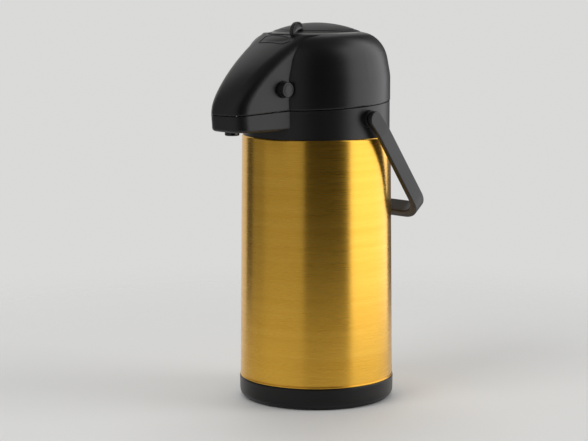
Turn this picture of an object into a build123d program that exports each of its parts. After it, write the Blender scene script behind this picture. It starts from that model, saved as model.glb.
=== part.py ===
from build123d import *
from math import atan2, cos, degrees, pi, radians, sin, sqrt, tan
import os

# A vacuum airpot: a tapered metal jacket round a glass flask, a moulded collar with a spout housing,
# a hinged domed lid whose press plate works a bellows, and a carrying bail.
# Millimetres, +Z up. The origin is the middle of the foot's resting plane, on the jacket's axis.
# The spout points to -Y, the bail rests against the back (+Y) and its pivots lie along the X axis.

# Clearances
running_gap = 0.3
pin_gap = 0.05
seal_gap = 0.2

# Jacket
jacket_bottom_radius = 76.0
jacket_top_radius = 73.5
jacket_wall = 0.8
jacket_bottom = 21.8
jacket_top = 262.8
jacket_roll = 1.6
jacket_lip = 4.6

# Base
base_overhang = 0.8
base_edge_round = 1.1
base_heel_round = 7.0
base_spigot_height = 10.0
base_wall = 2.4
base_floor_bottom = 6.0
base_floor_thickness = 3.0
foot_width = 6.0
base_opening_radius = 46.0
cap_flange_overlap = 4.0
cap_flange_thickness = 3.0
cap_height = 13.0
cap_wall = 2.6
cap_grip_width = 9.0
cap_grip_height = 9.0
foot_pad_count = 3
foot_pad_radius = 4.0
foot_pad_circle = 56.5

# Flask: an inner and an outer glass bottle, joined at the lip
glass_wall = 2.0
flask_radius = 66.0
flask_vacuum_gap = 5.0
flask_bottom = 33.0
flask_shoulder = 226.0
flask_neck_start = 248.0
flask_lip = 278.0
mouth_radius = 29.0
neck_vacuum_gap = 2.0
flask_heel_round = 40.0
flask_shoulder_round = 22.0
flask_neck_round = 8.0
cushion_radius = 34.0
cushion_wall = 8.0
cushion_lip = 2.0

# Collar
collar_radius = 72.4
collar_wall = 2.6
collar_spigot_depth = 11.0
collar_spigot_wall = 2.4
collar_spigot_land = 3.2
deck_bottom = 281.0
deck_thickness = 3.0
deck_opening_radius = 30.5
neck_gasket_width = 6.5
seam_height = 294.1
seam_tilt = 2.9
seam_gap = 0.8

# Beak: the spout housing below the seam and its cover above it
beak_length = 125.2
beak_tip_half_width = 21.8
beak_side_taper = 9.1
beak_corner_round = 16.0
beak_bulge = 3.0
beak_bottom = 272.0
beak_bottom_tuck = 1.4
beak_bottom_round = 3.0
beak_root = 12.0
beak_wall = 2.4
beak_cover_step = 0.7
ridge_start = 294.0
ridge_run = 68.0
ridge_fall = 67.0
ridge_power = 1.4
crown_fall = 9.2
crown_power = 4.0
ridge_bulge_gain = 3.0
ridge_rises = (-14.0, 0.0, 8.0, 18.0, 29.0, 40.0, 51.0, 60.0, 65.0, 68.2)

# Lid dome: how far its wall has drawn in from the dome's radius, at a height
dome_radius = 72.8
dome_wall = 2.6
dome_top = 362.8
dome_profile = ((0.0, 318.0), (1.5, 329.5), (4.1, 342.0), (9.8, 352.6), (17.6, 359.3))
dome_crown_slope = 0.18

# Press plate, bellows and return spring
plate_gap = 0.8
plate_radius = 43.5
plate_rim_height = 363.4
plate_crown = 8.6
plate_wall = 2.4
plate_rim_round = 2.2
plate_skirt_bottom = 335.5
plate_flange_reach = 1.8
plate_flange_thickness = 2.0
plate_stem_radius = 26.0
guide_wall = 2.0
inner_cover_bottom = 300.3
inner_cover_thickness = 2.5
inner_cover_radius = 66.0
inner_cover_hole = 5.0
valve_radius = 10.0
valve_thickness = 1.5
bellows_outer_radius = 37.0
bellows_inner_radius = 30.0
bellows_wall = 1.8
bellows_pleats = 6
bellows_head_bottom = 349.0
bellows_head_thickness = 2.5
bellows_foot_thickness = 2.0
spring_radius = 17.0
spring_wire = 1.6
spring_turns = 7

# Lock lever: a fin on an arc slot beside the plate
lock_swing = 37.0
lock_slot_inner = 47.6
lock_slot_width = 3.2
lock_neck_width = 3.8
lock_fin_inner = 31.0
lock_fin_outer = 52.0
lock_fin_thickness = 5.0
lock_fin_height = 9.0
lock_fin_clearance = 0.6
lock_fin_round = 1.0
lock_shoe_width = 9.0
lock_shoe_thickness = 1.8
lock_shoe_drop = 8.0
lock_shoe_reach = 51.0

# Lid release buttons, one each side of the beak
button_radius = 7.15
button_round = 1.4
button_y = -72.7
button_z = 311.5
button_reach = 37.4
button_flange_reach = 1.8
button_flange_thickness = 2.0
button_flange_x = 23.4
button_stem_radius = 2.6
button_stem_end = 9.0
button_rib_x = 8.0
button_rib_thickness = 2.4
button_rib_width = 22.0
button_rib_bottom = 303.0
latch_width = 7.0
latch_thickness = 1.8
latch_bottom = 285.0
latch_eye_radius = 6.0
latch_hook = 3.0
latch_hook_height = 3.0
button_spring_radius = 4.6
button_spring_wire = 0.9
button_spring_turns = 5

# Lid hinge
hinge_y = 77.4
hinge_barrel_radius = 4.2
hinge_pin_radius = 1.8
hinge_half_width = 19.0
hinge_lid_half_width = 11.0

# Stopper, tubes and seals
stopper_radius = 28.0
stopper_bottom = 262.0
stopper_floor = 3.0
stopper_flange_radius = 40.0
stopper_flange_thickness = 2.0
tower_radius = 26.0
tower_top = 297.0
tower_wall = 3.0
tower_plate = 1.4
tower_boss_wall = 2.5
stopper_seal_bottom = 268.0
stopper_seal_height = 6.0
stopper_seal_width = 2.8
air_hole_radius = 2.4
air_hole_circle = 17.0
air_hole_count = 4
tube_radius = 4.5
tube_bore = 3.2
tube_joint = 274.0
outlet_height = 290.8
outlet_reach = 111.0
outlet_bend = 12.0
outlet_end = 269.4
dip_tube_bottom = 44.0
nozzle_radius = 7.0
nozzle_bottom = 268.2
nozzle_round = 1.0
nozzle_flange_radius = 9.0
nozzle_flange_thickness = 1.6
air_seal_inner = 19.8
air_seal_outer = 25.0

# Bail
pivot_height = 282.0
pivot_boss_radius = 8.6
pivot_boss_reach = 77.8
pivot_pin_radius = 4.0
pivot_pin_inner_end = 66.0
pivot_pin_outer_end = 81.4
strap_thickness = 5.2
strap_width = 15.4
strap_outer = 83.4
strap_straight = 16.0
strap_corner_x = 69.0
bail_reach = 133.0
grip_thickness = 9.0
bail_corner_round = 27.0
bail_knee_round = 60.0
strap_edge_round = 1.2
bail_rest_angle = 40.5

# Cover screws
screw_radius = 1.6
screw_head_radius = 3.2
screw_head = 2.0
screw_grip = 12.0
screw_socket_radius = 1.3
screw_socket_depth = 1.2
screw_circle = 59.5
screw_angles = (50, 130, 230, 310)
cover_boss_radius = 4.0
cover_boss_height = 16.0
cover_boss_rib = 3.0

# Sizes and places that follow from the ones above
base_radius = jacket_bottom_radius + base_overhang
base_height = jacket_bottom - running_gap
base_floor_top = base_floor_bottom + base_floor_thickness
foot_outer_radius = base_radius - base_heel_round
foot_inner_radius = foot_outer_radius - foot_width
cap_radius = base_opening_radius - running_gap
cap_bottom = base_floor_bottom - cap_flange_thickness
cap_top = base_floor_bottom + cap_height
jacket_slope = (jacket_bottom_radius - jacket_top_radius) / (jacket_top - jacket_bottom)
jacket_lip_radius = jacket_top_radius - jacket_lip
collar_bore = collar_radius - collar_wall
outer_neck_radius = mouth_radius + 2 * glass_wall + neck_vacuum_gap
deck_top = deck_bottom + deck_thickness
flange_top = deck_top + stopper_flange_thickness
seam_rise = tan(radians(seam_tilt))
seam_up = (0, -sin(radians(seam_tilt)), cos(radians(seam_tilt)))
seam_top = seam_height + seam_rise * dome_radius
seam_at_beak = seam_height - seam_rise * beak_length
hinge_z = seam_height + seam_rise * hinge_y
plate_opening_radius = plate_radius + plate_gap
guide_bottom = plate_skirt_bottom + plate_flange_thickness + running_gap
inner_cover_top = inner_cover_bottom + inner_cover_thickness
bellows_head_top = bellows_head_bottom + bellows_head_thickness
plate_sphere = (plate_radius**2 + plate_crown**2) / (2 * plate_crown)
plate_top = plate_rim_height + plate_crown
button_seat_x = button_flange_x + button_flange_thickness
button_rib_face = button_rib_x + button_rib_thickness
latch_x = button_flange_x - latch_thickness
lock_slot_middle = lock_slot_inner + lock_slot_width / 2
hands = (("right", 1), ("left", -1))

os.makedirs("parts", exist_ok=True)


def write(piece, name):
    """Labels a finished piece and writes it as parts/NAME.step."""
    piece.label = name
    export_step(piece, f"parts/{name}.step")


def disc(radius, bottom, top, bore=0.0, mode=Mode.ADD):
    """A disc or, with a bore, a ring on the vertical axis, between two heights, in the current part."""
    with BuildSketch(Plane.XY.offset(bottom)) as face:
        Circle(radius)
        if bore:
            Circle(bore, mode=Mode.SUBTRACT)
    extrude(face.sketch, amount=top - bottom, mode=mode)


def rod_x(radius, y, z, start, end, mode=Mode.ADD):
    """A round rod along X between two places, in the current part."""
    with BuildSketch(Plane.YZ.offset(start)) as face:
        with Locations((y, z)):
            Circle(radius)
    extrude(face.sketch, amount=end - start, mode=mode)


def block(low, high, mode=Mode.ADD):
    """A rectangular block between two opposite corners, in the current part."""
    with BuildSketch(Plane.XY.offset(low[2])) as face:
        with Locations(((low[0] + high[0]) / 2, (low[1] + high[1]) / 2)):
            Rectangle(high[0] - low[0], high[1] - low[1])
    extrude(face.sketch, amount=high[2] - low[2], mode=mode)


def side_x(forward, inset=0.0):
    """Half-width of the beak between its side faces, at a distance in front of the axis."""
    return beak_tip_half_width + (beak_length - forward) * tan(radians(beak_side_taper)) - inset


def beak_outline(front, inset, bulge):
    """The beak's plan in the current sketch: straight sides, a bulged front and rounded front corners."""
    tip = front - inset
    shoulder = tip - bulge
    with BuildLine() as outline:
        Line((side_x(beak_root, inset), -beak_root), (side_x(shoulder, inset), -shoulder))
        ThreePointArc((side_x(shoulder, inset), -shoulder), (0, -tip), (-side_x(shoulder, inset), -shoulder))
        Line((-side_x(shoulder, inset), -shoulder), (-side_x(beak_root, inset), -beak_root))
        Line((-side_x(beak_root, inset), -beak_root), (side_x(beak_root, inset), -beak_root))
    make_face(outline.line)
    fillet(vertices().group_by(Axis.Y)[0], radius=beak_corner_round - inset)


def beak_cover(inset):
    """The beak above the seam, lofted through level sections. An inset gives its hollow."""
    with BuildPart() as cover:
        for rise in ridge_rises:
            share = max(rise, 0.0) / ridge_run
            fall = ridge_fall * share**ridge_power + crown_fall * share**crown_power
            front = beak_length - beak_cover_step - fall
            with BuildSketch(Plane.XY.offset(ridge_start + rise - inset)):
                beak_outline(front, inset, beak_bulge + ridge_bulge_gain * share)
        loft()
    return cover.part


def beak_housing(inset):
    """The beak below the seam, with its front drawn in towards the bottom. An inset gives its hollow."""
    lean = beak_bottom_tuck / (seam_at_beak - beak_bottom)
    top = seam_top + inset
    with BuildPart() as housing:
        with BuildSketch(Plane.XY.offset(beak_bottom + inset)):
            beak_outline(beak_length - beak_bottom_tuck, inset, beak_bulge)
        with BuildSketch(Plane.XY.offset(top)):
            beak_outline(beak_length + lean * (top - seam_at_beak), inset, beak_bulge)
        loft(ruled=True)
        low_edges = edges().group_by(Axis.Z)[0].sort_by(Axis.Y)[:-1]
        fillet(low_edges, radius=beak_bottom_round - inset)
    return housing.part


def dome(inset):
    """The lid's dome as a solid of revolution. An inset gives its hollow."""
    wall_line = [(dome_radius - inset - drop, height - inset) for drop, height in dome_profile]
    crown = (plate_opening_radius, dome_top - inset)
    foot = deck_top
    with BuildPart() as solid:
        with BuildSketch(Plane.XZ):
            with BuildLine():
                Polyline(wall_line[0], (wall_line[0][0], foot), (0, foot), (0, crown[1]), crown)
                Spline(*wall_line, crown, tangents=((0, 1), (-1, dome_crown_slope)))
            make_face()
        revolve(axis=Axis.Z)
    return solid.part


def bottle(radius, bottom, shoulder, neck_start, neck_radius, top, rounds):
    """A solid bottle from its half section. The rounds are those of its heel, shoulder and neck."""
    corners = ((radius, bottom), (radius, shoulder), (neck_radius, neck_start))
    with BuildPart() as solid:
        with BuildSketch(Plane.XZ) as section:
            with BuildLine():
                Polyline((0, bottom), *corners, (neck_radius, top), (0, top), close=True)
            make_face()
            for corner, rounding in zip(corners, rounds):
                fillet(section.vertices().sort_by_distance(corner)[0], radius=rounding)
        revolve(axis=Axis.Z)
    return solid.part


def flask_skin(depth, top):
    """The outer bottle's shape, drawn in by a depth."""
    rounds = (flask_heel_round - depth, flask_shoulder_round - depth, flask_neck_round + depth)
    fall = depth * (sqrt(2) - 1)
    return bottle(flask_radius - depth, flask_bottom + depth, flask_shoulder - fall, flask_neck_start - depth,
                  outer_neck_radius - depth, top, rounds)


def flask_liner(depth, top):
    """The inner bottle's shape, drawn in by a depth."""
    inward = glass_wall + flask_vacuum_gap + depth
    rounds = (flask_heel_round - inward, flask_shoulder_round - inward, flask_neck_round + inward)
    fall = inward * (sqrt(2) - 1)
    return bottle(flask_radius - inward, flask_bottom + inward, flask_shoulder - fall,
                  flask_neck_start - inward, mouth_radius + glass_wall - depth, top, rounds)


def coil(radius, wire, height, turns, plane):
    """A spring on the plane's normal, swept along arcs that follow a helix by quarter turns."""
    pitch = height / turns
    print("coil", turns, "turns, gap between turns", round(pitch - wire, 2), "mm")
    quarters = 4 * turns

    def station(step):
        angle = step * pi / 2
        place = plane.from_local_coords((radius * cos(angle), radius * sin(angle), pitch * step / 4))
        ahead = plane.from_local_coords((-sin(angle), cos(angle), pitch / (2 * pi * radius))) - plane.origin
        return place, ahead.normalized()

    with BuildPart() as spring:
        with BuildLine() as path:
            for step in range(quarters):
                start, leaving = station(step)
                end, arriving = station(step + 1)
                chord = end - start
                turn = 1 - leaving.dot(arriving)
                lean = chord.dot(leaving + arriving)
                reach = (sqrt(lean**2 + 2 * turn * chord.dot(chord)) - lean) / (2 * turn)
                joint = (start + leaving * reach + end - arriving * reach) * 0.5
                TangentArc(start, joint, tangent=leaving)
                TangentArc(end, joint, tangent=arriving * -1)
        with BuildSketch(Plane(origin=path.line @ 0, z_dir=path.line % 0)):
            Circle(wire / 2)
        sweep(path=path.line)
    return spring.part


# Base ring: the foot, a floor with the screw opening, and a spigot inside the jacket
spigot_radius = jacket_bottom_radius - jacket_wall - running_gap - base_spigot_height * jacket_slope
with BuildPart() as base_ring:
    with BuildSketch(Plane.XZ) as section:
        with BuildLine():
            heel = CenterArc((foot_outer_radius, base_heel_round), base_heel_round, -90, 90)
            Polyline(
                heel @ 1,
                (base_radius, base_height),
                (spigot_radius, base_height),
                (spigot_radius, base_height + base_spigot_height),
                (spigot_radius - base_wall, base_height + base_spigot_height),
                (spigot_radius - base_wall, base_floor_top),
                (base_opening_radius, base_floor_top),
                (base_opening_radius, base_floor_bottom),
                (foot_inner_radius, base_floor_bottom),
                (foot_inner_radius, 0),
                heel @ 0,
            )
        make_face()
        fillet(section.vertices().sort_by_distance((base_radius, base_height))[0], radius=base_edge_round)
    revolve(axis=Axis.Z)
write(base_ring.part, "base_ring")

# Base cap: the plug that screws in from below and carries the flask's cushion
with BuildPart() as base_cap:
    disc(base_opening_radius + cap_flange_overlap, cap_bottom, base_floor_bottom)
    disc(cap_radius, base_floor_bottom, cap_top)
    disc(cap_radius - cap_wall, cap_bottom, cap_top - cap_wall, mode=Mode.SUBTRACT)
    with BuildSketch(Plane.XY.offset(base_floor_bottom)):
        Rectangle(2 * (cap_radius - cap_wall) + cap_wall, cap_grip_width)
    extrude(amount=cap_grip_height)
write(base_cap.part, "base_cap")

# Foot pads: rubber plugs under the floor that finish level with the foot
with BuildPart() as foot_pads:
    with BuildSketch(Plane.XY):
        with PolarLocations(foot_pad_circle, foot_pad_count, start_angle=90):
            Circle(foot_pad_radius)
    extrude(amount=base_floor_bottom)
write(foot_pads.part, "foot_pads")

# Cushion: the rubber ring between the base cap and the flask's heel
with BuildPart() as flask_cushion:
    disc(cushion_radius, cap_top, flask_bottom + cushion_lip, bore=cushion_radius - cushion_wall)
    add(flask_skin(-seal_gap, flask_lip), mode=Mode.SUBTRACT)
write(flask_cushion.part, "flask_cushion")

# Jacket: a thin tapered tube whose top edge rolls inwards to a lip under the collar
jacket_bore = jacket_top_radius - jacket_wall
with BuildPart() as jacket:
    with BuildSketch(Plane.XZ) as section:
        with BuildLine():
            Polyline(
                (jacket_bottom_radius, jacket_bottom),
                (jacket_top_radius, jacket_top),
                (jacket_lip_radius, jacket_top),
                (jacket_lip_radius, jacket_top - jacket_wall),
                (jacket_bore, jacket_top - jacket_wall),
                (jacket_bottom_radius - jacket_wall, jacket_bottom),
                close=True,
            )
        make_face()
        fillet(section.vertices().sort_by_distance((jacket_top_radius, jacket_top))[0], radius=jacket_roll)
        inner_corner = section.vertices().sort_by_distance((jacket_bore, jacket_top - jacket_wall))[0]
        fillet(inner_corner, radius=jacket_roll - jacket_wall)
    revolve(axis=Axis.Z)
write(jacket.part, "jacket")

# Flask: the outer bottle, and the inner one whose lip lands on it, with the vacuum between them
lip_land = flask_lip - glass_wall
with BuildPart() as flask_outer:
    add(flask_skin(0, lip_land))
    add(flask_skin(glass_wall, flask_lip), mode=Mode.SUBTRACT)
write(flask_outer.part, "flask_outer")

with BuildPart() as flask_inner:
    add(flask_liner(0, lip_land))
    disc(outer_neck_radius, lip_land, flask_lip)
    add(flask_liner(glass_wall, flask_lip), mode=Mode.SUBTRACT)
write(flask_inner.part, "flask_inner")

# Neck gasket: sits on the flask's lip, under the collar's deck
with BuildPart() as neck_gasket:
    disc(deck_opening_radius + neck_gasket_width, flask_lip, deck_bottom, bore=deck_opening_radius)
write(neck_gasket.part, "neck_gasket")

# Collar: shoulder ring, deck and spout housing in one moulding
spigot_outer = jacket_lip_radius - running_gap
with BuildPart() as housing_hollow:
    add(beak_housing(beak_wall))
    disc(collar_radius, beak_bottom, deck_top, mode=Mode.SUBTRACT)

with BuildPart() as collar:
    add(beak_housing(0))
    disc(collar_radius, jacket_top, seam_top)
    block(
        (-hinge_half_width, 0, hinge_z - hinge_barrel_radius),
        (hinge_half_width, hinge_y, seam_top + seam_gap),
    )
    block(
        (-hinge_lid_half_width - running_gap, collar_radius, hinge_z - 2 * hinge_barrel_radius),
        (hinge_lid_half_width + running_gap, hinge_y + hinge_barrel_radius, seam_top + seam_gap),
        mode=Mode.SUBTRACT,
    )
    split(bisect_by=Plane(origin=(0, 0, seam_height - seam_gap / 2), z_dir=seam_up), keep=Keep.BOTTOM)
    disc(spigot_outer, jacket_top - collar_spigot_depth, jacket_top)
    disc(
        spigot_outer - collar_spigot_wall,
        jacket_top - collar_spigot_depth,
        jacket_top + collar_spigot_land,
        mode=Mode.SUBTRACT,
    )
    disc(collar_bore, jacket_top + collar_spigot_land, deck_bottom, mode=Mode.SUBTRACT)
    disc(collar_bore, deck_top, seam_top + seam_gap, mode=Mode.SUBTRACT)
    disc(deck_opening_radius, deck_bottom, deck_top, mode=Mode.SUBTRACT)
    add(housing_hollow.part, mode=Mode.SUBTRACT)
    with BuildSketch(Plane.XY.offset(beak_bottom)):
        with Locations((0, -outlet_reach)):
            Circle(nozzle_radius + pin_gap)
    extrude(amount=beak_wall, mode=Mode.SUBTRACT)
    for hand in (1, -1):
        rod_x(pivot_boss_radius, 0, pivot_height, hand * (collar_bore - 1), hand * pivot_boss_reach)
        rod_x(pivot_pin_radius + pin_gap, 0, pivot_height, hand * pivot_pin_inner_end,
              hand * pivot_boss_reach, mode=Mode.SUBTRACT)
        knuckle_end = hand * (hinge_lid_half_width + running_gap)
        rod_x(hinge_barrel_radius, hinge_y, hinge_z, knuckle_end, hand * hinge_half_width)
    rod_x(
        hinge_pin_radius + pin_gap,
        hinge_y,
        hinge_z,
        -hinge_half_width,
        hinge_half_width,
        mode=Mode.SUBTRACT,
    )
write(collar.part, "collar")

# Stopper: the plug in the flask's mouth, with a tower that carries the tubes and the air holes
with BuildPart() as stopper:
    disc(stopper_radius, stopper_bottom, deck_top)
    disc(stopper_flange_radius, deck_top, flange_top)
    disc(tower_radius, flange_top, tower_top)
    stopper_floor_top = stopper_bottom + stopper_floor
    disc(tower_radius - tower_wall, stopper_floor_top, tower_top - tower_plate, mode=Mode.SUBTRACT)
    disc(tube_radius + tower_boss_wall, stopper_floor_top, tube_joint + stopper_floor)
    disc(tube_radius + pin_gap, stopper_bottom, tube_joint + stopper_floor, mode=Mode.SUBTRACT)
    disc(
        stopper_radius,
        stopper_seal_bottom,
        stopper_seal_bottom + stopper_seal_height,
        bore=mouth_radius - seal_gap - stopper_seal_width,
        mode=Mode.SUBTRACT,
    )
    for level in (stopper_bottom, tower_top - tower_plate):
        with BuildSketch(Plane.XY.offset(level)):
            with PolarLocations(air_hole_circle, air_hole_count, start_angle=45):
                Circle(air_hole_radius)
        extrude(amount=stopper_floor, mode=Mode.SUBTRACT)
    with BuildSketch(Plane.XZ.offset(0)):
        with Locations((0, outlet_height)):
            Circle(tube_radius + seal_gap)
    extrude(amount=tower_radius, mode=Mode.SUBTRACT)
write(stopper.part, "stopper")

with BuildPart() as stopper_seal:
    disc(
        mouth_radius - seal_gap,
        stopper_seal_bottom,
        stopper_seal_bottom + stopper_seal_height,
        bore=mouth_radius - seal_gap - stopper_seal_width,
    )
write(stopper_seal.part, "stopper_seal")

# Tubes: a straight dip tube in the flask, and the outlet tube on it that leads to the nozzle
with BuildPart() as dip_tube:
    disc(tube_radius, dip_tube_bottom, tube_joint, bore=tube_bore)
write(dip_tube.part, "dip_tube")

with BuildPart() as outlet_tube:
    with BuildLine(Plane.YZ) as outlet_path:
        FilletPolyline(
            (0, tube_joint),
            (0, outlet_height),
            (-outlet_reach, outlet_height),
            (-outlet_reach, outlet_end),
            radius=outlet_bend,
        )
    with BuildSketch(Plane.XY.offset(tube_joint)):
        Circle(tube_radius)
        Circle(tube_bore, mode=Mode.SUBTRACT)
    sweep(path=outlet_path.line)
write(outlet_tube.part, "outlet_tube")

# Nozzle: the bush that guides the tube's end through the housing's floor
nozzle_seat = beak_bottom + beak_wall
with BuildPart() as spout_nozzle:
    with BuildSketch(Plane.XY.offset(nozzle_bottom)):
        with Locations((0, -outlet_reach)):
            Circle(nozzle_radius)
    extrude(amount=nozzle_seat - nozzle_bottom)
    with BuildSketch(Plane.XY.offset(nozzle_seat)):
        with Locations((0, -outlet_reach)):
            Circle(nozzle_flange_radius)
    extrude(amount=nozzle_flange_thickness)
    fillet(edges().group_by(Axis.Z)[0], radius=nozzle_round)
    with BuildSketch(Plane.XY.offset(nozzle_bottom)):
        with Locations((0, -outlet_reach)):
            Circle(tube_radius + pin_gap)
    extrude(amount=nozzle_seat + nozzle_flange_thickness - nozzle_bottom, mode=Mode.SUBTRACT)
write(spout_nozzle.part, "spout_nozzle")

# Lid shell: the dome and the beak's cover, hollow, with a guide for the press plate
with BuildPart() as cover_bosses:
    for angle in screw_angles:
        with BuildSketch(Plane.XY.offset(inner_cover_top)):
            with PolarLocations(screw_circle, 1, start_angle=angle):
                Circle(cover_boss_radius)
            with PolarLocations((screw_circle + dome_radius) / 2, 1, start_angle=angle):
                Rectangle(dome_radius - screw_circle, cover_boss_rib)
            with PolarLocations(screw_circle, 1, start_angle=angle):
                Circle(screw_radius + pin_gap, mode=Mode.SUBTRACT)
        extrude(amount=cover_boss_height)
    add(dome(dome_wall / 2), mode=Mode.INTERSECT)

with BuildPart() as button_ribs:
    for hand in (1, -1):
        faces_x = sorted((hand * button_rib_x, hand * button_rib_face))
        low = (faces_x[0], button_y - button_rib_width / 2, button_rib_bottom)
        high = (faces_x[1], button_y + button_rib_width / 2, dome_top)
        block(low, high)
    add(beak_cover(beak_wall / 2), mode=Mode.INTERSECT)
    rib_hole = button_stem_radius + pin_gap
    rod_x(rib_hole, button_y, button_z, -button_rib_face, button_rib_face, mode=Mode.SUBTRACT)

neck_turn = degrees(lock_neck_width / lock_slot_middle)
lock_arc = CenterArc((0, 0), lock_slot_middle, -90 - lock_swing / 2 - neck_turn, lock_swing + 2 * neck_turn)
with BuildPart() as lid_shell:
    add(dome(0))
    add(beak_cover(0))
    split(bisect_by=Plane(origin=(0, 0, seam_height + seam_gap / 2), z_dir=seam_up), keep=Keep.TOP)
    block(
        (-hinge_lid_half_width, 0, hinge_z + seam_gap / 2),
        (hinge_lid_half_width, hinge_y, hinge_z + hinge_barrel_radius),
    )
    add(dome(dome_wall), mode=Mode.SUBTRACT)
    add(beak_cover(beak_wall), mode=Mode.SUBTRACT)
    disc(plate_opening_radius + guide_wall, guide_bottom, dome_top - dome_wall / 2)
    disc(plate_opening_radius, guide_bottom, plate_top, mode=Mode.SUBTRACT)
    add(cover_bosses.part)
    add(button_ribs.part)
    with BuildSketch(Plane.XY.offset(dome_top - 3 * dome_wall)):
        SlotArc(lock_arc, lock_slot_width)
    extrude(amount=4 * dome_wall, mode=Mode.SUBTRACT)
    for hand in (1, -1):
        rod_x(button_radius + running_gap, button_y, button_z, hand * button_seat_x, hand * button_reach,
              mode=Mode.SUBTRACT)
        rod_x(hinge_barrel_radius + running_gap, hinge_y, hinge_z, hand * hinge_lid_half_width,
              hand * (hinge_half_width + running_gap), mode=Mode.SUBTRACT)
    rod_x(hinge_barrel_radius, hinge_y, hinge_z, -hinge_lid_half_width, hinge_lid_half_width)
    rod_x(hinge_pin_radius + pin_gap, hinge_y, hinge_z, -hinge_lid_half_width, hinge_lid_half_width,
          mode=Mode.SUBTRACT)
write(lid_shell.part, "lid_shell")

# Hinge pin
with BuildPart() as hinge_pin:
    rod_x(hinge_pin_radius, hinge_y, hinge_z, -hinge_half_width, hinge_half_width)
write(hinge_pin.part, "hinge_pin")

# Inner cover: closes the lid's underside, carries the bellows and seals on the tower
with BuildPart() as inner_cover:
    disc(inner_cover_radius, inner_cover_bottom, inner_cover_top, bore=inner_cover_hole)
    with BuildSketch(Plane.XY.offset(inner_cover_bottom)):
        for angle in screw_angles:
            with PolarLocations(screw_circle, 1, start_angle=angle):
                Circle(screw_radius + pin_gap)
    extrude(amount=inner_cover_thickness, mode=Mode.SUBTRACT)
write(inner_cover.part, "inner_cover")

with BuildPart() as cover_screws:
    for angle in screw_angles:
        for radius, bottom, height in (
            (screw_head_radius, inner_cover_bottom - screw_head, screw_head),
            (screw_radius, inner_cover_bottom, screw_grip),
        ):
            with BuildSketch(Plane.XY.offset(bottom)):
                with PolarLocations(screw_circle, 1, start_angle=angle):
                    Circle(radius)
            extrude(amount=height)
        with BuildSketch(Plane.XY.offset(inner_cover_bottom - screw_head)):
            with PolarLocations(screw_circle, 1, start_angle=angle):
                RegularPolygon(screw_socket_radius, 6)
        extrude(amount=screw_socket_depth, mode=Mode.SUBTRACT)
write(cover_screws.part, "cover_screws")

with BuildPart() as air_seal:
    disc(air_seal_outer, tower_top + running_gap, inner_cover_bottom, bore=air_seal_inner)
write(air_seal.part, "air_seal")

with BuildPart() as valve_disc:
    disc(valve_radius, inner_cover_top, inner_cover_top + valve_thickness)
write(valve_disc.part, "valve_disc")

# Bellows: a pleated tube with a foot flange and a closed head under the plate's stem
pleat_start = inner_cover_top + bellows_foot_thickness
pleat_rise = (bellows_head_bottom - pleat_start) / bellows_pleats
with BuildPart() as bellows:
    with BuildSketch(Plane.XZ):
        with BuildLine():
            folds = [(bellows_inner_radius, pleat_start)]
            for pleat in range(bellows_pleats):
                folds.append((bellows_outer_radius, pleat_start + (pleat + 0.5) * pleat_rise))
                folds.append((bellows_inner_radius, pleat_start + (pleat + 1) * pleat_rise))
            inner_folds = [(radius - bellows_wall, height) for radius, height in reversed(folds)]
            Polyline(
                (bellows_outer_radius, inner_cover_top),
                (bellows_outer_radius, pleat_start),
                *folds,
                (bellows_inner_radius, bellows_head_top),
                (0, bellows_head_top),
                (0, bellows_head_bottom),
                *inner_folds,
                (bellows_inner_radius - bellows_wall, inner_cover_top),
                close=True,
            )
        make_face()
    revolve(axis=Axis.Z)
write(bellows.part, "bellows")

spring_room = bellows_head_bottom - inner_cover_top
with BuildPart() as return_spring:
    add(
        coil(
            spring_radius,
            spring_wire,
            spring_room - spring_wire,
            spring_turns,
            Plane.XY.offset(inner_cover_top + spring_wire / 2),
        )
    )
write(return_spring.part, "return_spring")

# Press plate: a domed cap with a skirt that runs in the guide and a stem on the bellows' head
with BuildPart() as press_plate:
    with BuildSketch(Plane.XZ) as section:
        with BuildLine():
            inner_sphere = plate_sphere - plate_wall
            inner_skirt = plate_radius - plate_wall
            centre_z = plate_top - plate_sphere
            skirt_shoulder = centre_z + sqrt(inner_sphere**2 - inner_skirt**2)
            RadiusArc((0, plate_top), (plate_radius, plate_rim_height), plate_sphere)
            Polyline(
                (plate_radius, plate_rim_height),
                (plate_radius, plate_skirt_bottom + plate_flange_thickness),
                (plate_radius + plate_flange_reach, plate_skirt_bottom + plate_flange_thickness),
                (plate_radius + plate_flange_reach, plate_skirt_bottom),
                (inner_skirt, plate_skirt_bottom),
                (inner_skirt, skirt_shoulder),
            )
            RadiusArc((inner_skirt, skirt_shoulder), (0, plate_top - plate_wall), -inner_sphere)
            Line((0, plate_top - plate_wall), (0, plate_top))
        make_face()
        plate_rim = section.vertices().sort_by_distance((plate_radius, plate_rim_height))[0]
        fillet(plate_rim, radius=plate_rim_round)
    revolve(axis=Axis.Z)
    stem_top = centre_z + sqrt(inner_sphere**2 - plate_stem_radius**2) + plate_wall / 2
    disc(plate_stem_radius, bellows_head_top, stem_top, bore=plate_stem_radius - plate_wall)
write(press_plate.part, "press_plate")

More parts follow.
